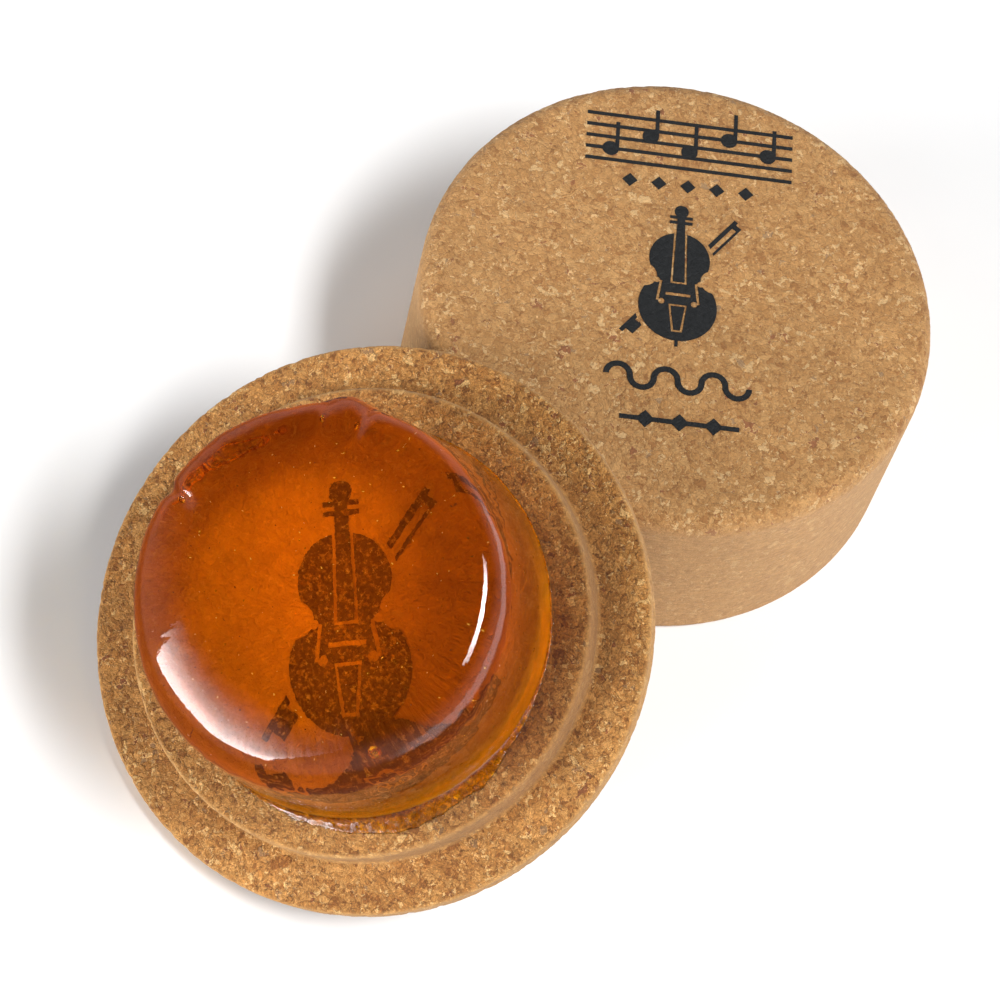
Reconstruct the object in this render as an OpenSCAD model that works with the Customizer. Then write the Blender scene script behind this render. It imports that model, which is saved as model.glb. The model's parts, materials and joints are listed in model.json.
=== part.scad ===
// Rosin cake on a cork base, with its cork lid.
// The lid stands on its open rim, and the base leans on the lid's top edge with the cake facing out.
// Millimetres. +Z is up, Z = 0 is the table, and X = Y = 0 is the middle of the footprint.

/* [Cork base] */
// Diameter of the flange
flange_d = 65; // [63:0.5:67]
// Thickness of the flange
flange_t = 3; // [2.6:0.1:4]
// Diameter of the raised spigot that the lid fits over
spigot_d = 53.2; // [51:0.2:55]
// Height of the spigot above the flange
spigot_h = 4.4; // [3:0.1:5.5]

/* [Cork lid] */
// Outside diameter of the lid
lid_d = 61; // [60:0.5:63]
// Height of the lid from its rim to its closed top
lid_h = 26; // [25:0.1:29]
// Gap all round between the lid's bore and the spigot
fit_gap = 0.2; // [0.1:0.05:0.4]
// Rounding of the lid's top edge
lid_edge_r = 1.4; // [0.8:0.1:2]

/* [Rosin cake] */
// Diameter of the cake where it is seated
cake_d = 44.2; // [40:0.2:46]
// Height of the cake at its middle
cake_h = 18.4; // [15:0.1:19.4]
// How much narrower the cake is at its shoulder than at its seat
cake_draft = 2.6; // [1:0.1:4]
// Rounding of the cake's top edge
cake_edge_r = 3.8; // [3:0.1:5]
// Rise of the domed top above its edge
cake_dome = 0.5; // [0.3:0.1:0.8]

/* [Seat of melted rosin] */
// Thickness of the melted layer under the cake
bond_t = 0.4; // [0.3:0.05:0.6]
// How far the melted layer runs out from under the cake on its wide side
bond_spill = 1.5; // [0.5:0.1:2]

/* [Prints] */
// Thickness of the ink
ink_t = 0.06; // [0.04:0.01:0.1]
// Height of the cello drawing under the cake
base_motif_h = 28; // [24:0.5:34]
// Height of the cello drawing on the lid
lid_motif_h = 19.4; // [16:0.2:20]

/* [How the pair stands] */
// Angle at which the base leans back from the table
lean = 27.4; // [24:0.1:30]
// How far the base stands to the side of the lid's middle
aside = 11.3; // [0:0.1:14]
// Gap between the base's underside and the edge it leans on
lean_gap = 0.12; // [0.05:0.01:0.2]

/* [Hidden] */
$fn = 96;

flange_r = flange_d / 2;
spigot_r = spigot_d / 2;
lid_r = lid_d / 2;
cake_r = cake_d / 2;
shoulder_r = cake_r - cake_draft / 2;
cork_edge_r = 0.6;      // rounding of every other cork edge
seat_z = flange_t + spigot_h;
cake_z = seat_z + bond_t;
head_room = 0.3;        // free space over the cake when the lid is on
bore_depth = spigot_h + bond_t + cake_h + head_room;
bore_r = spigot_r + fit_gap;

// The flange's lowest edge touches the table, and its underside passes lean_gap clear of the
// rounding of the lid's top edge.
base_z = (flange_r - cork_edge_r) * sin(lean) + cork_edge_r * (1 - cos(lean));
edge_y = lid_r - lid_edge_r;
edge_z = lid_h - lid_edge_r;
base_back = edge_y + (edge_z + (lid_edge_r + lean_gap) / cos(lean) - base_z) / tan(lean);

// The footprint, seen from the lid's axis.
front_reach = (flange_r - cork_edge_r) * cos(lean) + (flange_t - cork_edge_r) * sin(lean)
            + cork_edge_r;
mid_x = (max(lid_r, aside + flange_r) + min(-lid_r, aside - flange_r)) / 2;
mid_y = (lid_r - base_back - front_reach) / 2;

// Directions of the prints, about the axis of the piece that each is on.
base_print_turn = 55;
lid_print_turn = 49;
base_print_at = [0.3, 0.5];

// Everything on the base is drawn with the base's underside at Z = 0.
module on_base() {
    translate([aside - mid_x, -base_back - mid_y, base_z]) rotate([lean, 0, 0]) children();
}

// Everything on the lid is drawn with the lid's rim at Z = 0.
module on_lid() {
    translate([-mid_x, -mid_y, 0]) children();
}

// Half section of a disc with its outer edges rounded, standing on Z = 0.
module rounded_section(r, h, top_r, bottom_r) {
    square([r - max(top_r, bottom_r), h]);
    translate([0, bottom_r]) square([r, h - bottom_r - top_r]);
    for (corner = [[top_r, h - top_r], [bottom_r, bottom_r]])
        translate([r - corner[0], corner[1]]) circle(corner[0]);
    square([r - bottom_r, h / 2]);
    translate([0, h / 2]) square([r - top_r, h / 2]);
}

module cork_base() {
    color("#b98850") on_base() rotate_extrude() {
        rounded_section(flange_r, flange_t, cork_edge_r, cork_edge_r);
        translate([0, flange_t - cork_edge_r])
            rounded_section(spigot_r, spigot_h + cork_edge_r, cork_edge_r, 0);
    }
}

module cork_lid() {
    color("#bf9058") on_lid() rotate_extrude() difference() {
        rounded_section(lid_r, lid_h, lid_edge_r, cork_edge_r);
        square([bore_r, bore_depth]);
    }
}

// The cake is widest at its seat. Its shoulder is rounded and its top is a shallow dome.
module rosin_cake() {
    shoulder_z = cake_h - cake_dome - cake_edge_r;
    flat_r = shoulder_r - cake_edge_r;
    dome_r = (flat_r * flat_r + cake_dome * cake_dome) / (2 * cake_dome);
    color("#b4500c") on_base() translate([0, 0, cake_z]) rotate_extrude($fn = 180) {
        polygon([[0, 0], [cake_r, 0], [shoulder_r, shoulder_z], [0, shoulder_z]]);
        square([flat_r, cake_h - cake_dome]);
        translate([flat_r, shoulder_z]) intersection() {
            circle(cake_edge_r);
            square(cake_edge_r);
        }
        intersection() {
            translate([0, cake_h - dome_r]) circle(dome_r);
            square([flat_r, cake_h]);
        }
    }
}

// Melted rosin that holds the cake on the cork. It covers the ink and spills out on one side.
module rosin_seat() {
    spill_turn = -16;
    spill_r = cake_r - 0.6;
    color("#c98a1a") on_base() translate([0, 0, seat_z]) difference() {
        union() {
            cylinder(h = bond_t, r = cake_r + 0.4);
            rotate([0, 0, spill_turn]) translate([0.6 + bond_spill, 0, 0])
                cylinder(h = bond_t, r = spill_r);
        }
        base_ink();
    }
}

// ---- Drawings for the prints ----

// Outline of a cello's body, 1 grow wider all round, for a drawing 30 high.
module cello_body(grow = 0) {
    difference() {
        union() {
            translate([0, -6.6]) circle(7.2 + grow);
            translate([0, 3.4]) circle(5.6 + grow);
        }
        for (side = [-1, 1])
            translate([side * 6.4, -0.6]) circle(2.4 - grow);
    }
}

module sound_hole() {
    rotate(8) square([0.5, 4.4], center = true);
    translate([0.5, 2.2]) circle(0.6);
    translate([-0.5, -2.2]) circle(0.6);
}

module fingerboard(grow = 0) {
    polygon([[-1.1 - grow, -1.4 - grow], [1.1 + grow, -1.4 - grow], [0.7 + grow, 12.6], [-0.7 - grow, 12.6]]);
}

module tailpiece(grow = 0) {
    polygon([[-0.6 - grow, -11.6 - grow], [0.6 + grow, -11.6 - grow],
             [1.3 + grow, -6.6 + grow], [-1.3 - grow, -6.6 + grow]]);
}

// Stick, hair, frog and tip of a bow, centred.
module bow() {
    stick_l = 33;
    hair_at = 1.3;
    translate([-0.4, -stick_l / 2]) square([0.8, stick_l]);
    translate([hair_at, 2 - stick_l / 2]) square([0.45, stick_l - 3]);
    translate([0, 1 - stick_l / 2]) square([hair_at + 0.7, 2.6]);
    translate([0, stick_l / 2 - 1.6]) square([hair_at + 0.45, 1]);
}

// A cello with its bow behind it, 30 high and centred.
module cello_drawing() {
    line_w = 0.4;
    difference() {
        cello_body();
        fingerboard(line_w);
        tailpiece(line_w);
        translate([0, -4.1]) square([4.6, 0.6], center = true);
        for (side = [-1, 1])
            translate([side * 3.5, -3.6]) mirror([side < 0 ? 1 : 0, 0]) sound_hole();
    }
    fingerboard();
    tailpiece();
    translate([0, 13.7]) circle(1.3);
    for (row = [11.3, 12.4])
        translate([0, row]) square([4.2, 0.6], center = true);
    translate([-0.3, -15]) square([0.6, 2]);
    difference() {
        rotate(-38) bow();
        cello_body(0.8);
        fingerboard(0.8);
    }
}

// Five-line stave with a row of notes on it.
module stave_drawing(w, step, line_w) {
    notes = [[-0.38, -1], [-0.19, 0.5], [0, -0.5], [0.19, 1], [0.38, 0]];
    for (row = [-2:2])
        translate([0, row * step]) square([w, line_w], center = true);
    for (note = notes)
        translate([note[0] * w, note[1] * step]) {
            circle(0.62 * step);
            translate([0.62 * step - line_w, 0]) square([line_w, 2.4 * step]);
        }
}

module diamond_row(count, pitch, across) {
    for (i = [0:count - 1])
        translate([(i - (count - 1) / 2) * pitch, 0]) rotate(45) square(across, center = true);
}

// Half rings that swing up and down in turn.
module wave_drawing(halves, r, line_w) {
    for (i = [0:halves - 1])
        translate([(2 * i - halves + 1) * (r - line_w / 2), 0]) mirror([0, i % 2]) difference() {
            circle(r);
            circle(r - line_w);
            translate([-2 * r, -2 * r]) square([4 * r, 2 * r]);
        }
}

module ink(turn) {
    rotate([0, 0, turn]) linear_extrude(ink_t) children();
}

module base_ink() {
    translate([base_print_at[0], base_print_at[1], 0])
        ink(base_print_turn) scale(base_motif_h / 30) cello_drawing();
}

module base_print() {
    color("#3a2416") on_base() translate([0, 0, seat_z]) base_ink();
}

module lid_ink() {
    color("#1c1b1c") on_lid() translate([0, 0, lid_h]) ink(lid_print_turn) children();
}

module lid_upper_print() {
    lid_ink() {
        translate([0.4, 21]) stave_drawing(w = 25, step = 1.6, line_w = 0.46);
        translate([0.4, 15.3]) diamond_row(count = 5, pitch = 3.5, across = 1.3);
    }
}

module lid_motif_print() {
    lid_ink() translate([-0.2, 2.8]) scale(lid_motif_h / 30) cello_drawing();
}

module lid_lower_print() {
    lid_ink() {
        translate([0.2, -11.5]) wave_drawing(halves = 6, r = 1.75, line_w = 0.7);
        translate([0.6, -17]) square([14, 0.6], center = true);
        translate([0.6, -17]) diamond_row(count = 3, pitch = 4, across = 1.6);
    }
}

cork_base();
base_print();
rosin_seat();
rosin_cake();
cork_lid();
lid_upper_print();
lid_motif_print();
lid_lower_print();
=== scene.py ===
"""Looks of the rosin cake: an amber cake on its cork base, leaning on its cork lid."""

import json
import math
import random

import bmesh
import bpy
import numpy as np
from mathutils import Matrix, Vector, noise


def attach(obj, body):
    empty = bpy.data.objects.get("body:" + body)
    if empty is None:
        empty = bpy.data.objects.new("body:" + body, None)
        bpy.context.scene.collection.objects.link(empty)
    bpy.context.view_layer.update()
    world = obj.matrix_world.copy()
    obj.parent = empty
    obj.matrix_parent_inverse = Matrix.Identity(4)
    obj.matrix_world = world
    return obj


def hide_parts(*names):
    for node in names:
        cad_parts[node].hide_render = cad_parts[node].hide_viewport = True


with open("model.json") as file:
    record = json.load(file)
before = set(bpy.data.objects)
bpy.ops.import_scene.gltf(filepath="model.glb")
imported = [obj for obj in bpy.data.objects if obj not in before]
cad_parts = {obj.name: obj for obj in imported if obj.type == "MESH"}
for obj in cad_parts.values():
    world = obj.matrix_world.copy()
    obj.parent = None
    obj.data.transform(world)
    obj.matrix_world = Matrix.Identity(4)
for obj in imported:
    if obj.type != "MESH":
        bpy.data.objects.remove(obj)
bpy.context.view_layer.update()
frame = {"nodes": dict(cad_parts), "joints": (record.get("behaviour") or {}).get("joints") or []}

MM = 0.001
SEED = 11


# ---------------------------------------------------------------- places and sizes from the frame

def piece_frame(node, up):
    """Matrix of a round piece's own frame: +Z along up, origin in the middle of its underside."""
    z = Vector(up).normalized()
    x = Vector((1, 0, 0))
    turn = Matrix((x, z.cross(x), z)).transposed()
    low, high = local_box(node, turn.to_4x4())
    middle = Vector(((low[0] + high[0]) / 2, (low[1] + high[1]) / 2, low[2]))
    return Matrix.Translation(turn @ middle) @ turn.to_4x4()


def local_points(node, matrix):
    """The vertices of a CAD node in the frame that the matrix places."""
    co = np.array([v.co for v in frame["nodes"][node].data.vertices])
    inverse = np.array(matrix.inverted())
    return co @ inverse[:3, :3].T + inverse[:3, 3]


def local_box(node, matrix):
    points = local_points(node, matrix)
    return points.min(0), points.max(0)


def radius_between(node, matrix, low, high):
    """Largest radius of a CAD node's vertices whose height in its own frame is from low to high."""
    points = local_points(node, matrix)
    band = points[(points[:, 2] >= low - 1e-6) & (points[:, 2] <= high + 1e-6)]
    return float(np.hypot(band[:, 0], band[:, 1]).max())


base_up = frame["joints"][0]["axis"]
BASE = piece_frame("cork_base", base_up)
LID = piece_frame("cork_lid", (0, 0, 1))

base_height = float(local_box("cork_base", BASE)[1][2])
flange_r = radius_between("cork_base", BASE, 0, base_height)
spigot_r = radius_between("cork_base", BASE, base_height - 2 * MM, base_height)
flange_t = base_height - 4.4 * MM
lid_height = float(local_box("cork_lid", LID)[1][2])
lid_r = radius_between("cork_lid", LID, 0, lid_height)
bore_r = spigot_r + 0.2 * MM
bore_depth = lid_height - 2.5 * MM
cake_low, cake_high = local_box("rosin_cake", BASE)
cake_z = float(cake_low[2])
cake_top = float(cake_high[2])
cake_r = radius_between("rosin_cake", BASE, cake_z, cake_z + 0.1 * MM)
seat_t = cake_z - base_height


# ---------------------------------------------------------------- node graphs

class Graph:
    """Short ways to add nodes to a shader tree or a geometry tree."""

    def __init__(self, tree):
        self.tree = tree

    def add(self, kind, inputs=None, **settings):
        node = self.tree.nodes.new(kind)
        for key, value in settings.items():
            setattr(node, key, value)
        for key, value in (inputs or {}).items():
            self.put(node.inputs[key], value)
        return node

    def put(self, socket, value):
        if isinstance(value, bpy.types.NodeSocket):
            self.tree.links.new(value, socket)
        else:
            socket.default_value = value

    def math(self, operation, a, b=0.0, clamp=False):
        node = self.add("ShaderNodeMath", {0: a, 1: b}, operation=operation, use_clamp=clamp)
        return node.outputs[0]

    def vector(self, operation, a, b=(0, 0, 0), scale=1.0):
        node = self.add("ShaderNodeVectorMath", {0: a, 1: b, 3: scale}, operation=operation)
        return node.outputs[0]

    def noise(self, where, scale, detail=2.0, roughness=0.5, output="Fac", distortion=0.0):
        node = self.add("ShaderNodeTexNoise", {"Vector": where, "Scale": scale, "Detail": detail,
                                               "Roughness": roughness, "Distortion": distortion})
        return node.outputs[output]

    def cells(self, where, scale, feature="F1", output="Distance", randomness=1.0):
        node = self.add("ShaderNodeTexVoronoi", {"Vector": where, "Scale": scale,
                                                 "Randomness": randomness}, feature=feature)
        return node.outputs[output]

    def ramp(self, value, low, high, to_low=0.0, to_high=1.0, smooth=False):
        node = self.add("ShaderNodeMapRange",
                        {"Value": value, "From Min": low, "From Max": high,
                         "To Min": to_low, "To Max": to_high},
                        interpolation_type="SMOOTHSTEP" if smooth else "LINEAR")
        return node.outputs[0]

    def colours(self, value, stops, constant=False):
        node = self.add("ShaderNodeValToRGB", {"Fac": value})
        band = node.color_ramp
        band.interpolation = "CONSTANT" if constant else "LINEAR"
        while len(band.elements) < len(stops):
            band.elements.new(0.5)
        for element, (place, colour) in zip(band.elements, stops):
            element.position = place
            element.color = (*colour, 1)
        return node.outputs["Color"]

    def blend(self, a, b, amount, kind="MIX"):
        node = self.add("ShaderNodeMix", data_type="RGBA", blend_type=kind, clamp_factor=True)
        self.put(node.inputs["Factor"], amount)
        self.put(node.inputs[6], a if isinstance(a, bpy.types.NodeSocket) else (*a, 1))
        self.put(node.inputs[7], b if isinstance(b, bpy.types.NodeSocket) else (*b, 1))
        return node.outputs[2]

    def attribute(self, name, geometry):
        if geometry:
            node = self.add("GeometryNodeInputNamedAttribute", {"Name": name}, data_type="FLOAT")
            return node.outputs["Attribute"]
        return self.add("ShaderNodeAttribute", attribute_name=name).outputs["Fac"]


def new_material(name):
    material = bpy.data.materials.new(name)
    material.use_nodes = True
    material.node_tree.nodes.clear()
    return material, Graph(material.node_tree)


def finish_material(graph, shader, volume=None):
    out = graph.add("ShaderNodeOutputMaterial")
    graph.tree.links.new(shader, out.inputs["Surface"])
    if volume:
        graph.tree.links.new(volume, out.inputs["Volume"])


# ---------------------------------------------------------------- cork

def cork_field(graph, where, grain):
    """The granules of pressed cork, from a place in millimetres: what the shape and the colour share.
    grain is the size of the large granules."""
    slow = graph.vector("SUBTRACT", graph.noise(where, 0.8 / grain, 2, 0.6, "Color"), (0.5, 0.5, 0.5))
    quick = graph.vector("SUBTRACT", graph.noise(where, 3.4 / grain, 2, 0.6, "Color"), (0.5, 0.5, 0.5))
    bent = graph.vector("ADD", where, graph.vector("SCALE", slow, scale=1.7 * grain))
    bent = graph.vector("ADD", bent, graph.vector("SCALE", quick, scale=0.62 * grain))
    field = {}
    for name, scale in (("large", 1 / grain), ("small", 2.3 / grain)):
        field[name + "_edge"] = graph.cells(bent, scale, "DISTANCE_TO_EDGE")
        random_colour = graph.cells(bent, scale, "F1", "Color")
        split = graph.add("ShaderNodeSeparateXYZ", {0: random_colour})
        field[name + "_random"] = list(split.outputs)
    return field


def cork_height(graph, field, where, wall):
    """Depth of the cork's surface below its moulded face, in parts of the granule relief, never above 0."""
    gap = graph.ramp(field["large_edge"], 0.0, 0.16, -1.0, 0.0, smooth=True)
    crumb = graph.ramp(field["small_edge"], 0.0, 0.14, -0.4, 0.0, smooth=True)
    step = graph.math("MULTIPLY", field["large_random"][0], -0.7)
    pit = graph.ramp(graph.noise(where, 1.1, 2, 0.55), 0.66, 0.76, 0.0, -1.5, smooth=True)
    total = graph.math("ADD", graph.math("ADD", gap, crumb), graph.math("ADD", step, pit))
    return graph.math("MULTIPLY", total, graph.ramp(wall, 0.0, 1.0, 1.0, 0.35))


def grey(graph, value):
    return graph.add("ShaderNodeCombineXYZ", {0: value, 1: value, 2: value}).outputs[0]


def cork_colour(graph, where, field, wall, look):
    """Colour of the cork: patches by granule, streaks within them, dark pits, and paler smeared walls."""
    crumbly = graph.ramp(graph.noise(where, 0.9, 3, 0.6), 0.44, 0.56)
    pick = graph.add("ShaderNodeMix", {"Factor": crumbly, 2: field["large_random"][1],
                                       3: field["small_random"][1]}, data_type="FLOAT").outputs[0]
    body = graph.colours(pick, look["palette"], constant=True)
    spin = graph.math("MULTIPLY", field["large_random"][2], 2 * math.pi)
    turned = graph.add("ShaderNodeVectorRotate", {"Vector": where, "Axis": (0.3, 0.5, 0.8), "Angle": spin},
                       rotation_type="AXIS_ANGLE").outputs[0]
    stretched = graph.vector("MULTIPLY", turned, (1.0, 5.0, 2.2))
    streak = graph.ramp(graph.noise(stretched, 1.4, 4, 0.65), 0.3, 0.72, 0.66, 1.3)
    fine = graph.ramp(graph.noise(where, 6.0, 4, 0.7), 0.3, 0.7, 0.78, 1.2)
    cloud = graph.ramp(graph.noise(where, 0.1, 3, 0.5), 0.3, 0.7, 0.92, 1.08)
    shade = graph.math("MULTIPLY", graph.math("MULTIPLY", streak, fine), cloud)
    shade = graph.math("POWER", shade, look["contrast"])
    tinted = graph.blend(body, grey(graph, shade), 1.0, "MULTIPLY")

    gap_line = graph.ramp(field["large_edge"], 0.01, 0.1, 1.0, 0.0, smooth=True)
    patchy = graph.ramp(graph.noise(where, 1.5, 3, 0.65), 0.46, 0.62, 0.0, 0.85)
    pits = graph.ramp(graph.noise(stretched, 1.5, 3, 0.65), 0.62, 0.72, 0.0, 0.85, smooth=True)
    dark = graph.math("MAXIMUM", graph.math("MULTIPLY", gap_line, patchy), pits)
    dark = graph.math("MULTIPLY", dark, graph.ramp(wall, 0.0, 1.0, look["gaps"], 0.15))
    faced = graph.blend(tinted, look["gap_colour"], dark)

    smear = graph.vector("MULTIPLY", where, (0.8, 0.8, 2.6))
    wall_tone = graph.ramp(graph.noise(smear, 1.1, 4, 0.65), 0.3, 0.7, 0.8, 1.16)
    wall_body = graph.blend(graph.blend(look["wall_colour"], tinted, 0.35), grey(graph, wall_tone),
                            1.0, "MULTIPLY")
    colour = graph.blend(faced, wall_body, graph.math("MULTIPLY", wall, 0.85))
    return colour, stretched


def cork_bump(graph, field, where, stretched, wall, strength):
    height = graph.math("ADD", cork_height(graph, field, where, wall),
                        graph.math("MULTIPLY", graph.noise(stretched, 3.0, 5, 0.65), 0.7))
    return graph.add("ShaderNodeBump", {"Height": height, "Strength": strength,
                                        "Distance": 0.12 * MM}).outputs[0]


def cork_material(name, look):
    """Pressed cork. Where the soak attribute is high it is full of rosin, so it is even, and its colour there is
    painted light: painted shade rising to a painted caustic glow of light through the cake, along the glow attribute.
    Beside the cake a tinted painted shadow of the cake darkens it.
    """
    material, g = new_material(name)
    where = g.vector("SCALE", g.add("ShaderNodeTexCoord").outputs["Object"], scale=1 / MM)
    wall = g.attribute("wall", False)
    soak = g.attribute("soak", False)
    glow = g.attribute("glow", False)
    field = cork_field(g, where, look["grain"])
    colour, stretched = cork_colour(g, where, field, wall, look)
    mottle = g.ramp(g.noise(where, 0.35, 4, 0.6), 0.3, 0.7, 0.86, 1.14)
    # Under the cake the colour is painted light: the glow attribute runs it from painted shade to a bright painted
    # caustic of light through the rosin.
    wet = g.colours(glow, look["soaked_shade_to_caustic"])
    wet = g.blend(wet, grey(g, mottle), 1.0, "MULTIPLY")
    # Painted shadow: beside the cake the cork is multiplied by a tinted colour that stands for the cake's shadow, as
    # if lit through the rosin.
    colour = g.blend(colour, g.blend(colour, look["painted_shadow"], 1.0, "MULTIPLY"), g.attribute("painted_shadow", False))
    colour = g.blend(colour, g.blend(wet, colour, 0.22), soak)
    rough = g.ramp(g.noise(where, 3.0, 2), 0.2, 0.8, 0.7, 0.95)
    shader = g.add("ShaderNodeBsdfPrincipled",
                   {"Base Color": colour, "Roughness": rough,
                    "Normal": cork_bump(g, field, where, stretched, wall, 0.6),
                    "Specular IOR Level": 0.25, "Sheen Weight": 0.06, "Sheen Roughness": 0.6})
    finish_material(g, shader.outputs[0])
    return material


def ink_material(name, look, ink, cover):
    """Ink on cork. It misses some spots and pits, where the cork under it shows. A higher cover leaves
    fewer of them."""
    material, g = new_material(name)
    where = g.vector("SCALE", g.add("ShaderNodeTexCoord").outputs["Object"], scale=1 / MM)
    field = cork_field(g, where, look["grain"])
    bare, stretched = cork_colour(g, where, field, 0.0, look)
    tone = g.ramp(g.noise(where, 1.6, 4, 0.6), 0.3, 0.7, 0.75, 1.35)
    body = g.blend(ink, grey(g, tone), 1.0, "MULTIPLY")
    missed = g.ramp(g.noise(where, 1.8, 5, 0.75), cover, cover + 0.05)
    colour = g.blend(body, g.blend(bare, body, 0.25), missed)
    rough = g.ramp(g.noise(where, 2.0, 2), 0.3, 0.7, 0.5, 0.75)
    shader = g.add("ShaderNodeBsdfPrincipled",
                   {"Base Color": colour, "Roughness": rough,
                    "Normal": cork_bump(g, field, where, stretched, 0.0, 0.5), "Specular IOR Level": 0.3})
    finish_material(g, shader.outputs[0])
    return material


def skirt_material(name, look, tint):
    """A thin clear coat of melted rosin over cork: the cork's colours, tinted, under a wet gloss."""
    material, g = new_material(name)
    where = g.vector("SCALE", g.add("ShaderNodeTexCoord").outputs["Object"], scale=1 / MM)
    field = cork_field(g, where, look["grain"])
    bare, stretched = cork_colour(g, where, field, 0.0, look)
    depth = g.ramp(g.noise(where, 0.8, 3, 0.6), 0.3, 0.7, 1.0, 1.6)
    glazed = g.blend(g.blend(bare, tint, 1.0, "MULTIPLY"), grey(g, depth), 1.0, "MULTIPLY")
    bump = g.add("ShaderNodeBump", {"Height": g.noise(where, 1.6, 3, 0.55), "Strength": 0.7,
                                    "Distance": 0.14 * MM})
    shader = g.add("ShaderNodeBsdfPrincipled",
                   {"Base Color": glazed, "Roughness": g.ramp(g.noise(where, 1.2, 2), 0.3, 0.7, 0.16, 0.4),
                    "Normal": bump.outputs[0], "IOR": 1.5})
    finish_material(g, shader.outputs[0])
    return material


def roughen(piece, grain, depth):
    """Moves the cork's surface along its normals by the same granules that its material shows."""
    tree = bpy.data.node_groups.new("granules", "GeometryNodeTree")
    tree.interface.new_socket("Geometry", in_out="INPUT", socket_type="NodeSocketGeometry")
    tree.interface.new_socket("Geometry", in_out="OUTPUT", socket_type="NodeSocketGeometry")
    g = Graph(tree)
    start = g.add("NodeGroupInput")
    where = g.vector("SCALE", g.add("GeometryNodeInputPosition").outputs[0], scale=1 / MM)
    wall = g.attribute("wall", True)
    chip = g.attribute("chip", True)
    field = cork_field(g, where, grain)
    height = cork_height(g, field, where, wall)
    worn = g.math("MULTIPLY", g.ramp(g.noise(where, 0.7, 3, 0.6), 0.5, 0.75, 0.0, -2.6, smooth=True), chip)
    lift = g.math("MULTIPLY", g.math("ADD", height, worn), depth)
    offset = g.vector("SCALE", g.add("GeometryNodeInputNormal").outputs[0], scale=lift)
    moved = g.add("GeometryNodeSetPosition", {"Geometry": start.outputs[0], "Offset": offset})
    end = g.add("NodeGroupOutput")
    tree.links.new(moved.outputs[0], end.inputs[0])
    modifier = piece.modifiers.new("granules", "NODES")
    modifier.node_group = tree
    bake_modifiers(piece)
    bpy.data.node_groups.remove(tree)


def bake_modifiers(piece):
    bpy.context.view_layer.update()
    shaped = bpy.data.meshes.new_from_object(piece.evaluated_get(bpy.context.evaluated_depsgraph_get()))
    piece.modifiers.clear()
    old = piece.data
    piece.data = shaped
    bpy.data.meshes.remove(old)


# ---------------------------------------------------------------- shapes

def link(piece):
    bpy.context.scene.collection.objects.link(piece)
    return piece


def arc(centre, radius, start, end, steps):
    """Points of an arc in a half section, with angles in degrees from the +radius direction."""
    return [(centre[0] + radius * math.cos(math.radians(a)), centre[1] + radius * math.sin(math.radians(a)))
            for a in np.linspace(start, end, steps)]


def spaced(points, step):
    """The same half section with a point at least every step along it."""
    out = [points[0]]
    for (r0, z0), (r1, z1) in zip(points, points[1:]):
        count = max(1, math.ceil(math.hypot(r1 - r0, z1 - z0) / step))
        out += [(r0 + (r1 - r0) * i / count, z0 + (z1 - z0) * i / count) for i in range(1, count + 1)]
    return out


def lathe(name, section_at, turns, place=lambda r, a, z: (r, a, z), ring=False):
    """A closed solid turned round the axis from section_at(angle), a list of (radius, height) of one
    length. It starts and ends on the axis, or closes on itself where ring is true."""
    points, faces = [], []
    for j in range(turns):
        a = 2 * math.pi * j / turns
        for r, z in section_at(a):
            rr, aa, zz = place(r, a, z)
            points.append((rr * math.cos(aa), rr * math.sin(aa), zz))
    n = len(points) // turns
    for j in range(turns):
        here, there = j * n, ((j + 1) % turns) * n
        for i in range(n if ring else n - 1):
            k = (i + 1) % n
            faces.append((here + i, there + i, there + k, here + k))
    mesh = bpy.data.meshes.new(name)
    mesh.from_pydata(points, [], faces)
    shape = bmesh.new()
    shape.from_mesh(mesh)
    if not ring:
        poles = [v for v in shape.verts if math.hypot(v.co.x, v.co.y) < 1e-7]
        bmesh.ops.remove_doubles(shape, verts=poles, dist=1e-6)
    bmesh.ops.recalc_face_normals(shape, faces=shape.faces)
    shape.to_mesh(mesh)
    shape.free()
    mesh.polygons.foreach_set("use_smooth", [True] * len(mesh.polygons))
    return link(bpy.data.objects.new(name, mesh))


def mark(piece, name, rule):
    """Stores rule(x, y, z), from 0 to 1, on each vertex under that name."""
    layer = piece.data.attributes.new(name, "FLOAT", "POINT")
    layer.data.foreach_set("value", [rule(*v.co) for v in piece.data.vertices])


def settle(piece, matrix, body, material, replaced=()):
    """Puts a piece drawn in its own frame in place, on its body, with its material."""
    piece.data.transform(matrix)
    piece.data.materials.append(material)
    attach(piece, body)
    if replaced:
        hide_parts(*replaced)
    return piece


def near(value, low, high):
    """1 at low and below, 0 at high and above, straight in between."""
    return min(1.0, max(0.0, (high - value) / (high - low)))


CORK_STEP = 0.4 * MM
CORK_TURNS = 560
EDGE_R = 0.6 * MM
LID_EDGE_R = 2.2 * MM
# Where the painted glow under the cake sits: painted caustic light through the rosin, brighter towards one side.
PAINTED_GLOW_AT = (-3.0 * MM, -2.0 * MM)
PAINTED_GLOW_R = 14.0 * MM
PAINTED_GLOW_SIDE = math.radians(215)
# Direction, round the base, of the cake's painted shadow on the cork.
CAKE_SHADOW_AT = math.radians(42)


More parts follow.
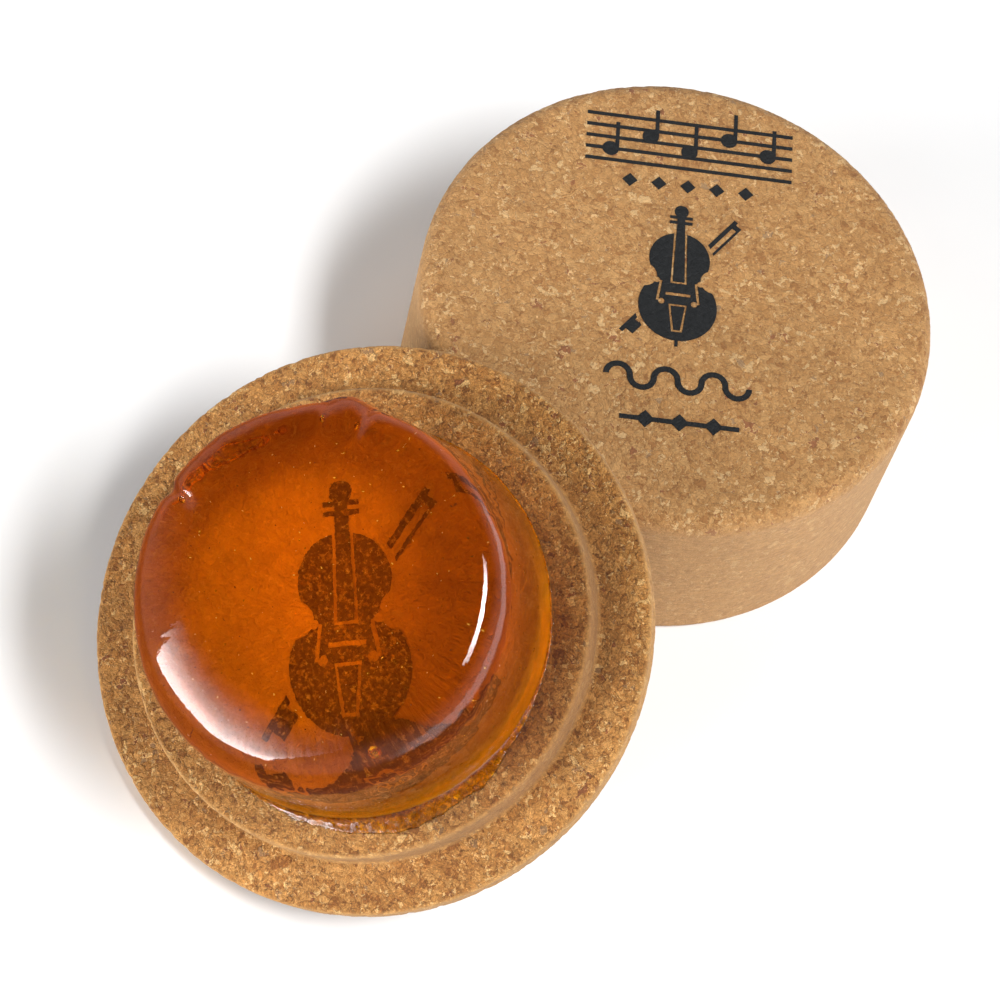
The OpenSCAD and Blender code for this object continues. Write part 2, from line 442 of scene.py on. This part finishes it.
def make_cork_base():
    section = [(0, 0), (flange_r - EDGE_R, 0)]
    section += arc((flange_r - EDGE_R, EDGE_R), EDGE_R, -90, 0, 5)
    section += arc((flange_r - EDGE_R, flange_t - EDGE_R), EDGE_R, 0, 90, 5)
    section += [(spigot_r + 0.3 * MM, flange_t), (spigot_r, flange_t + 0.3 * MM)]
    section += arc((spigot_r - EDGE_R, base_height - EDGE_R), EDGE_R, 0, 90, 5)
    section += [(0, base_height)]
    section = spaced(section, CORK_STEP)
    piece = lathe("cork_base_body", lambda a: section, CORK_TURNS)

    def wall(x, y, z):
        r = math.hypot(x, y)
        on_flange = near(abs(r - flange_r), 0.1 * MM, 0.5 * MM) * near(z, flange_t - 0.3 * MM, flange_t)
        on_spigot = near(abs(r - spigot_r), 0.15 * MM, 0.5 * MM) * near(-z, -flange_t - 0.2 * MM, -flange_t)
        return max(on_flange, on_spigot)

    def chip(x, y, z):
        r = math.hypot(x, y)
        flange_edge = near(abs(r - flange_r), 0.5 * MM, 1.2 * MM)
        spigot_edge = near(math.hypot(r - spigot_r, z - base_height), 0.4 * MM, 1.0 * MM)
        return max(flange_edge, spigot_edge)

    # The cork under the cake, full of rosin; its colour there is painted light and shade along the glow attribute.
    def soak(x, y, z):
        return near(math.hypot(x, y), cake_r - 0.6 * MM, cake_r + 0.4 * MM) * near(-z, -base_height + MM, -base_height + 2 * MM)

    # Painted light under the cake: a bright painted caustic crescent, browner painted shade round it, and a painted
    # bright band near the edge on one side.
    def glow(x, y, z):
        reach = PAINTED_GLOW_R + 1.2 * MM * wobble(x, y, 0, 0.12, 4)
        disc = near(math.hypot(x - PAINTED_GLOW_AT[0], y - PAINTED_GLOW_AT[1]), reach - 1.6 * MM, reach + 1.6 * MM)
        toward = x * math.cos(PAINTED_GLOW_SIDE) + y * math.sin(PAINTED_GLOW_SIDE)
        ring = near(-math.hypot(x, y), -19 * MM, -15.5 * MM)
        ring *= near(angle_apart(math.atan2(y, x), CAKE_SHADOW_AT - math.radians(65)), math.radians(70), math.radians(105))
        return max(0.7 * disc * (0.15 + 0.85 * near(-toward, -3 * MM, 9 * MM)), ring)

    mark(piece, "wall", wall)
    mark(piece, "chip", chip)
    # Painted shadow of the cake on the cork's upper face beside it, fading outwards over 8.5 mm.
    def painted_shadow(x, y, z):
        away = math.hypot(x, y) - cake_r + 1.5 * MM * wobble(x, y, 0, 0.15, 2)
        turned = angle_apart(math.atan2(y, x), CAKE_SHADOW_AT)
        upper = near(-z, -flange_t + 0.5 * MM, -flange_t + 1.5 * MM)
        return upper * near(away, 0, 8.5 * MM) ** 1.4 * near(turned, math.radians(30), math.radians(85))

    mark(piece, "soak", soak)
    mark(piece, "painted_shadow", painted_shadow)
    mark(piece, "glow", glow)
    return piece


def make_cork_lid():
    section = [(0, lid_height)]
    section += arc((lid_r - LID_EDGE_R, lid_height - LID_EDGE_R), LID_EDGE_R, 90, 0, 7)
    section += arc((lid_r - EDGE_R, EDGE_R), EDGE_R, 0, -90, 5)
    section += [(bore_r + 0.3 * MM, 0), (bore_r, 0.3 * MM), (bore_r, bore_depth), (0, bore_depth)]
    section = spaced(section, CORK_STEP)
    piece = lathe("cork_lid_body", lambda a: section, CORK_TURNS)

    def wall(x, y, z):
        r = math.hypot(x, y)
        return near(-r, -bore_r + 0.2 * MM, -bore_r + 0.9 * MM) * near(z, lid_height - 2.6 * MM, lid_height - 0.6 * MM)

    def chip(x, y, z):
        r = math.hypot(x, y)
        return near(math.hypot(r - lid_r, z - lid_height), 1.0 * MM, 2.0 * MM)

    mark(piece, "wall", wall)
    mark(piece, "chip", chip)
    return piece


# ---------------------------------------------------------------- rosin

CAKE_DRAFT = 1.3 * MM
CAKE_DOME = 0.5 * MM
CAKE_ROOT = 0.35 * MM
FOOT_RISE = 0.8 * MM
FOOT_EDGE = 0.16 * MM
FOOT_OVERHANG = 0.1 * MM
CAKE_TURNS = 640
SOFT_SIDE = math.radians(-20)
EASY_SIDE = math.radians(262)
SHARP_EDGE_R = 2.3 * MM
SOFT_EDGE_R = 5.6 * MM
LIP_AT = math.radians(158)
DRIP_AT = math.radians(134)
DENTS = [(195, 2.6, 0.5), (139, 3.0, 0.2), (126, 2.8, 0.5)]


def angle_apart(a, b):
    return abs((a - b + math.pi) % (2 * math.pi) - math.pi)


def wobble(x, y, z, scale, seed):
    """Smooth noise from about -1 to 1 at a place in metres, with scale features per millimetre."""
    return noise.noise(Vector((x, y, z)) * (scale / MM) + Vector((seed, 2 * seed, 3 * seed)))


def wall_radius(z):
    """Radius of the cake's drafted side at a height."""
    return cake_r - CAKE_DRAFT * (z - base_height) / (cake_top - base_height)


def cake_section(a):
    """Half section of the cake at an angle: sunken root, drafted side, rounded edge, slightly domed top."""
    soft = 0.5 + 0.5 * math.cos(a - SOFT_SIDE)
    edge = SHARP_EDGE_R + (SOFT_EDGE_R - SHARP_EDGE_R) * soft
    ease = (0.2 + 0.85 * max(0.0, math.cos(a - EASY_SIDE))) * MM
    flat_r = cake_r - CAKE_DRAFT - edge
    first_tilt = math.atan((2 * CAKE_DOME + 6 * ease) / flat_r)
    last_tilt = math.radians(86)
    start_z = cake_top - CAKE_DOME - ease
    end_z = start_z - edge * (math.cos(first_tilt) - math.cos(last_tilt))
    flat_r = wall_radius(end_z) - edge * (math.sin(last_tilt) - math.sin(first_tilt))
    reach = skirt_width(a) + FOOT_OVERHANG
    section = [(0, base_height - CAKE_ROOT), (cake_r * 0.5, base_height - CAKE_ROOT)]
    section += [(cake_r + reach, base_height - CAKE_ROOT), (cake_r + reach, base_height + 0.3 * FOOT_EDGE)]
    for t in np.linspace(0.98, 0, 14):
        section.append((cake_r + reach * t, base_height + FOOT_EDGE * (1 - t ** 8) + FOOT_RISE * (1 - t) ** 3))
    foot_top = base_height + FOOT_EDGE + FOOT_RISE
    section += [(wall_radius(z), z) for z in np.linspace(foot_top, end_z, 34)[1:]]
    for tilt in np.linspace(last_tilt, first_tilt, 26)[1:]:
        section.append((flat_r + edge * (math.sin(tilt) - math.sin(first_tilt)),
                        start_z - edge * (math.cos(first_tilt) - math.cos(tilt))))
    for u in np.linspace(1, 0, 44)[1:]:
        section.append((flat_r * u, cake_top - CAKE_DOME * u ** 2 - ease * u ** 6))
    return section


def cake_place(r, a, z):
    """Moves a point of the cake's section to make it a hand-cast piece: sways, ripples, a lip and dents."""
    x, y = r * math.cos(a), r * math.sin(a)
    above = near(-z, -base_height - 2.5 * MM, -base_height)
    outer = min(1.0, r / (17 * MM)) ** 4
    side = near(z, cake_top - 5.5 * MM, cake_top - 1.5 * MM) * outer
    shoulder = near(-z, -cake_top + 2.6 * MM, -cake_top + 4.5 * MM) * near(-r, -18.5 * MM, -16.5 * MM)
    dr = 0.24 * MM * wobble(x, y, z, 0.09, 3) * above * outer
    dr += 0.08 * MM * wobble(x, y, z, 0.6, 9) * side * above
    foot = near(-r, -cake_r - 0.1 * MM, -cake_r + 0.2 * MM) * near(-z, -base_height - 0.1 * MM, -base_height)
    foot *= near(z, base_height + 0.6 * MM, base_height + 1.6 * MM)
    dr += 0.05 * MM * wobble(x, y, z * 0.25, 1.1, 5) * side * above
    dz = 0.1 * MM * wobble(x, y, 0, 0.12, 5) * near(-z, -cake_top + 1.5 * MM, -cake_top + 4 * MM)
    dz += 0.07 * MM * wobble(x, y, z, 1.1, 12) * foot
    dz += 0.006 * MM * wobble(x / r * 22 * MM if r else 0, y / r * 22 * MM if r else 0, 0, 1.6, 2) * outer
    lip = near(angle_apart(a, LIP_AT), math.radians(35), math.radians(62)) * shoulder
    dz += 0.4 * MM * lip * (0.6 + 0.8 * wobble(x, y, 0, 0.16, 7) + 0.2 * wobble(x, y, 0, 0.6, 8))
    dr += 0.25 * MM * lip * (0.5 + wobble(x, y, 0, 0.2, 6))
    drip = math.exp(-(angle_apart(a, DRIP_AT) / math.radians(9)) ** 2)
    dr += 1.3 * MM * drip * near(-z, -base_height - 7 * MM, -base_height - 2 * MM) * near(z, cake_top - 4 * MM, cake_top - MM)
    for at, width, deep in DENTS:
        hit = math.exp(-(angle_apart(a, math.radians(at)) / math.radians(width)) ** 2) * shoulder
        dr -= deep * MM * hit
        dz -= deep * 0.8 * MM * hit
    return r + dr, a, z + dz


BIG_BUBBLES = [(195, 1.3, 2.1, 0.5), (-17, 2.4, 3.3, 0.7), (127, 1.2, 2.0, 0.42), (139, 1.0, 2.3, 0.3)]


def bubble_list():
    """(angle in degrees, distance in from the side, distance down from the top, radius) in millimetres."""
    rng = random.Random(SEED)
    bubbles = list(BIG_BUBBLES)
    for row in range(3):
        for i in range(15):
            bubbles.append((-52 + i * 8.5 + rng.uniform(-3, 3), rng.uniform(0.35, 0.6),
                            8.0 + row * 3.2 + rng.uniform(-1, 1), rng.uniform(0.1, 0.22)))
    for i in range(26):
        bubbles.append((rng.uniform(0, 360), rng.uniform(2, 17), rng.uniform(3, 15), rng.uniform(0.05, 0.12)))
    return bubbles


def make_rosin_cake():
    """The cake, with its root sunk a little into the cork so that no air lies between them. Its bubbles
    are closed hollows in the same mesh."""
    piece = lathe("rosin_cake_body", cake_section, CAKE_TURNS, cake_place)
    shape = bmesh.new()
    shape.from_mesh(piece.data)
    foot = shape.verts.layers.float.new("foot")
    for vert in shape.verts:
        beyond = math.hypot(vert.co.x, vert.co.y) - cake_r
        low = near(vert.co.z, base_height + 0.3 * MM, base_height + FOOT_RISE + 0.3 * MM)
        vert[foot] = low * near(-beyond, 0.0, 0.4 * MM)
    for angle, inward, down, radius in bubble_list():
        a = math.radians(angle)
        z = cake_top - down * MM
        r = wall_radius(z) - inward * MM - radius * MM
        if down < 3:
            r -= SHARP_EDGE_R * 0.25
        made = bmesh.ops.create_icosphere(shape, subdivisions=3 if radius > 0.25 else 2, radius=radius * MM,
                                          matrix=Matrix.Translation((r * math.cos(a), r * math.sin(a), z)))
        faces = {f for v in made["verts"] for f in v.link_faces}
        bmesh.ops.reverse_faces(shape, faces=list(faces))
        for face in faces:
            face.smooth = True
    shape.to_mesh(piece.data)
    shape.free()
    return piece


def rosin_material(name, density, keep):
    """Clear cast rosin. keep is the colour of light that gets through, density how fast the rest is lost."""
    material, g = new_material(name)
    where = g.vector("SCALE", g.add("ShaderNodeTexCoord").outputs["Object"], scale=1 / MM)
    foot = g.attribute("foot", False)
    haze = g.ramp(g.noise(where, 0.5, 4, 0.6), 0.3, 0.75, 0.015, 0.06)
    haze = g.math("ADD", haze, g.math("MULTIPLY", foot, 0.08))
    swirl = g.colours(g.noise(where, 0.16, 3, 0.5, distortion=0.6),
                      [(0.3, (1.0, 0.95, 0.9)), (0.7, (1.0, 1.0, 1.0))])
    height = g.math("ADD", g.noise(where, 0.5, 3, 0.5), g.math("MULTIPLY", g.noise(where, 5.0, 2), 0.04))
    height = g.math("ADD", height, g.math("MULTIPLY", g.noise(where, 2.4, 3), g.math("MULTIPLY", foot, 1.6)))
    bump = g.add("ShaderNodeBump", {"Height": height, "Strength": 0.25, "Distance": 0.1 * MM})
    shader = g.add("ShaderNodeBsdfPrincipled",
                   {"Base Color": swirl, "Roughness": haze, "Normal": bump.outputs[0],
                    "IOR": 1.54, "Transmission Weight": 1.0})
    volume = g.add("ShaderNodeVolumeAbsorption", {"Color": (*keep, 1), "Density": density})
    finish_material(g, shader.outputs[0], volume.outputs[0])
    return material


SKIRT_AT = math.radians(-22)


def skirt_width(a):
    """How far the melted rosin reaches past the cake: far on one side, a thin line elsewhere."""
    toward = max(0.0, math.cos(a - SKIRT_AT))
    x, y = 22 * MM * math.cos(a), 22 * MM * math.sin(a)
    ragged = 0.4 * wobble(x, y, 0, 0.25, 1) + 0.22 * wobble(x, y, 0, 0.85, 4)
    return max(0.08, 0.14 + 2.0 * toward ** 5 + ragged * (0.25 + 0.75 * toward)) * MM


def skirt_section(a):
    """Half section of the melted rosin under the cake's foot, a low ring that hugs the cork."""
    inner = cake_r - 0.15 * MM
    reach = skirt_width(a) + 0.15 * MM
    low = base_height - CAKE_ROOT
    profile = [(0, 0), (0, 1), (0.3, 0.97), (0.6, 0.94), (0.85, 0.9), (0.96, 0.84), (1, 0.7), (1, 0)]
    return [(inner + reach * u, low + (CAKE_ROOT + 0.4 * FOOT_EDGE) * v) for u, v in profile]


def make_specks():
    """Flecks of dust and bark that were cast into the rosin."""
    rng = random.Random(SEED + 1)
    shape = bmesh.new()
    tone = shape.verts.layers.float.new("tone")
    for i in range(240):
        a = rng.uniform(0, 2 * math.pi)
        r = 19.0 * MM * math.sqrt(rng.random())
        z = rng.uniform(base_height + 1.5 * MM, cake_top - 2.2 * MM)
        size = rng.uniform(0.035, 0.085) * MM
        spin = Matrix.Rotation(rng.uniform(0, 6.28), 4, Vector((rng.random(), rng.random(), rng.random() + 0.1)))
        stretch = Matrix.Diagonal((rng.uniform(1, 2.6), 1, rng.uniform(0.3, 0.8), 1))
        made = bmesh.ops.create_icosphere(
            shape, subdivisions=1, radius=size,
            matrix=Matrix.Translation((r * math.cos(a), r * math.sin(a), z)) @ spin @ stretch)
        value = 1.0 if rng.random() < 0.55 else 0.0
        for vert in made["verts"]:
            vert[tone] = value
    mesh = bpy.data.meshes.new("rosin_specks")
    shape.to_mesh(mesh)
    shape.free()
    return link(bpy.data.objects.new("rosin_specks", mesh))


def speck_material(name):
    material, g = new_material(name)
    where = g.vector("SCALE", g.add("ShaderNodeTexCoord").outputs["Object"], scale=1 / MM)
    dark = g.colours(g.noise(where, 3.0), [(0.3, (0.08, 0.03, 0.01)), (0.7, (0.25, 0.10, 0.03))])
    pale = g.colours(g.noise(where, 3.0), [(0.3, (0.95, 0.8, 0.5)), (0.7, (1.0, 0.95, 0.8))])
    shader = g.add("ShaderNodeBsdfPrincipled",
                   {"Base Color": g.blend(dark, pale, g.attribute("tone", False)),
                    "Roughness": g.ramp(g.noise(where, 2.0), 0.3, 0.7, 0.25, 0.6)})
    finish_material(g, shader.outputs[0])
    return material


# ---------------------------------------------------------------- the pieces

BASE_LOOK = {
    "grain": 1.15, "contrast": 1.6, "gaps": 1.0, "gap_colour": (0.09, 0.032, 0.010),
    "wall_colour": (0.50, 0.28, 0.10),
    "palette": [(0.0, (0.24, 0.090, 0.021)), (0.10, (0.36, 0.155, 0.038)), (0.32, (0.43, 0.20, 0.053)),
                (0.55, (0.50, 0.25, 0.074)), (0.74, (0.31, 0.13, 0.032)), (0.84, (0.62, 0.37, 0.14)),
                (0.945, (0.23, 0.080, 0.028)), (0.97, (0.27, 0.145, 0.062))],
    # Colours of the soaked cork under the cake in painted light, from painted shade to painted caustic glow.
    "soaked_shade_to_caustic": [(0.0, (0.42, 0.17, 0.035)), (0.7, (0.72, 0.34, 0.06)), (1.0, (0.98, 0.40, 0.04))],
    # Colour multiplied in for the cake's painted shadow.
    "painted_shadow": (0.36, 0.21, 0.07),
}
LID_LOOK = {
    "grain": 1.05, "contrast": 0.75, "gaps": 0.55, "gap_colour": (0.16, 0.070, 0.025),
    "wall_colour": (0.52, 0.30, 0.13),
    "palette": [(0.0, (0.34, 0.155, 0.05)), (0.10, (0.43, 0.215, 0.072)), (0.34, (0.48, 0.25, 0.088)),
                (0.56, (0.53, 0.29, 0.108)), (0.76, (0.40, 0.19, 0.062)), (0.86, (0.64, 0.40, 0.18)),
                (0.965, (0.30, 0.120, 0.048)), (0.985, (0.36, 0.215, 0.105))],
    # Colours of the soaked cork under the cake in painted light, from painted shade to painted caustic glow.
    "soaked_shade_to_caustic": [(0.0, (0.42, 0.17, 0.035)), (1.0, (0.72, 0.34, 0.06))],
    # Colour multiplied in for the cake's painted shadow.
    "painted_shadow": (0.34, 0.21, 0.085),
}

cork_base = make_cork_base()
settle(cork_base, BASE, "base", cork_material("pressed_cork_base", BASE_LOOK), ["cork_base"])
roughen(cork_base, BASE_LOOK["grain"], 0.075 * MM)

cork_lid = make_cork_lid()
settle(cork_lid, LID, "lid", cork_material("pressed_cork_lid", LID_LOOK), ["cork_lid"])
roughen(cork_lid, LID_LOOK["grain"], 0.05 * MM)

settle(make_rosin_cake(), BASE, "base", rosin_material("cast_rosin", 2000, (0.99895, 0.9865, 0.0)),
       ["rosin_cake"])
settle(lathe("rosin_skirt", skirt_section, CAKE_TURNS, ring=True), BASE, "base",
       skirt_material("melted_rosin", BASE_LOOK, (1.0, 0.66, 0.03)), ["rosin_seat"])
settle(make_specks(), BASE, "base", speck_material("cast_in_specks"))

lid_ink = ink_material("lid_ink", LID_LOOK, (0.009, 0.010, 0.011), 0.70)
base_ink = ink_material("base_ink", dict(BASE_LOOK, contrast=0.6), (0.135, 0.056, 0.018), 0.51)
for name, material in (("lid_upper_print", lid_ink), ("lid_motif_print", lid_ink),
                       ("lid_lower_print", lid_ink), ("base_print", base_ink)):
    node = frame["nodes"][name]
    node.data.materials.clear()
    node.data.materials.append(material)


# ---------------------------------------------------------------- floor, light and camera

def make_floor():
    size = 3.0
    mesh = bpy.data.meshes.new("floor")
    mesh.from_pydata([(-size, -size, 0), (size, -size, 0), (size, size, 0), (-size, size, 0)], [], [(0, 1, 2, 3)])
    floor = link(bpy.data.objects.new("floor", mesh))
    floor.location.z = -0.05 * MM
    material, g = new_material("pale_floor")
    where = g.add("ShaderNodeTexCoord").outputs["Object"]
    colour = g.colours(g.noise(where, 30.0, 3), [(0.3, (0.90, 0.90, 0.90)), (0.7, (0.93, 0.93, 0.93))])
    shader = g.add("ShaderNodeBsdfPrincipled", {"Base Color": colour, "Roughness": 0.9, "Specular IOR Level": 0.1})
    finish_material(g, shader.outputs[0])
    mesh.materials.append(material)
    floor.visible_glossy = False


def make_lamp(name, place, size, power, upright=(0, 0, 1), fade=None, glossy=True):
    """A rectangular lamp that shines at the origin, with its height along upright. fade is a list of
    (height, share): how bright the panel is from its lower edge, 0, to its upper edge, 1."""
    data = bpy.data.lights.new(name, "AREA")
    data.shape = "RECTANGLE"
    data.size, data.size_y = size
    data.energy = power
    if fade:
        data.use_nodes = True
        g = Graph(data.node_tree)
        up = g.add("ShaderNodeSeparateXYZ", {0: g.add("ShaderNodeNewGeometry").outputs["Parametric"]}).outputs[1]
        share = g.colours(up, [(at, (part, part, part)) for at, part in fade])
        data.node_tree.links.new(share, data.node_tree.nodes["Emission"].inputs["Color"])
    lamp = link(bpy.data.objects.new(name, data))
    back = Vector(place).normalized()
    side = Vector(upright).cross(back).normalized()
    lamp.matrix_world = Matrix.Translation(place) @ Matrix((side, back.cross(side), back)).transposed().to_4x4()
    lamp.visible_glossy = glossy
    return lamp


def make_camera(aim, azimuth, elevation, roll, distance, lens):
    """A camera that looks at aim. Azimuth 0 looks along +Y, and a positive roll turns it anticlockwise."""
    a, e = math.radians(azimuth), math.radians(elevation)
    away = Vector((math.sin(a) * math.cos(e), -math.cos(a) * math.cos(e), math.sin(e)))
    data = bpy.data.cameras.new("camera")
    data.lens = lens
    data.sensor_width = 36
    camera = link(bpy.data.objects.new("camera", data))
    camera.rotation_mode = "QUATERNION"
    camera.rotation_quaternion = ((-away).to_track_quat("-Z", "Y").to_matrix()
                                  @ Matrix.Rotation(math.radians(roll), 3, "Z")).to_quaternion()
    camera.location = aim + away * distance
    bpy.context.scene.camera = camera


def make_world():
    """A dim room: brighter near the horizon and round the window, dark overhead."""
    world = bpy.data.worlds.new("studio")
    world.use_nodes = True
    world.node_tree.nodes.clear()
    g = Graph(world.node_tree)
    direction = g.add("ShaderNodeTexCoord").outputs["Generated"]
    height = g.add("ShaderNodeSeparateXYZ", {0: direction}).outputs[2]
    low = g.ramp(height, 0.2, 0.7, 0.52, 0.03, smooth=True)
    below = g.ramp(height, -0.3, -0.05, 0.2, 1.0, smooth=True)
    toward = g.add("ShaderNodeVectorMath", {0: direction, 1: WINDOW_FROM}, operation="DOT_PRODUCT").outputs["Value"]
    glow = g.ramp(toward, 0.92, 1.0, 0.0, 1.2, smooth=True)
    aside = g.add("ShaderNodeVectorMath", {0: direction, 1: ROOM_FROM}, operation="DOT_PRODUCT").outputs["Value"]
    room = g.math("MULTIPLY", g.ramp(aside, 0.4, 0.65, 0.0, 1.6, smooth=True),
                  g.math("MULTIPLY", g.ramp(height, -0.22, -0.1), g.ramp(height, 0.14, 0.2, 1.0, 0.0)))
    strength = g.math("ADD", g.math("MULTIPLY", g.math("ADD", low, glow), below), room)
    background = g.add("ShaderNodeBackground", {"Color": (0.97, 0.98, 1.0, 1), "Strength": strength})
    out = g.add("ShaderNodeOutputWorld")
    g.tree.links.new(background.outputs[0], out.inputs[0])
    bpy.context.scene.world = world


WINDOW_FROM = Vector((-0.12, -0.9, 0.39)).normalized()
CEILING_FROM = Vector((0.446, 0.161, 0.88)).normalized()
ROOM_FROM = Vector((0.8, 0.6, 0)).normalized()
FILL_FROM = Vector((0.77, -0.46, 0.44)).normalized()

make_floor()
make_world()
make_lamp("window", WINDOW_FROM * 0.95, (0.66, 0.46), 18.5,
          fade=[(0.0, 1.0), (0.3, 0.75), (0.55, 0.3), (0.8, 0.08), (1.0, 0.01)])
make_lamp("ceiling", CEILING_FROM * 1.2, (0.24, 0.8), 21.5, upright=(-0.66, 0.69, 0.3),
          fade=[(0.0, 0.15), (0.3, 1.0), (0.6, 1.0), (1.0, 0.1)])
make_lamp("fill", FILL_FROM * 1.2, (1.0, 0.8), 1.3, glossy=False)
make_camera(Vector((-0.65, -3.94, 15)) * MM, 37.9, 61.04, 16.6, 0.42594, 132.17)
bpy.context.scene.view_settings.view_transform = "Standard"
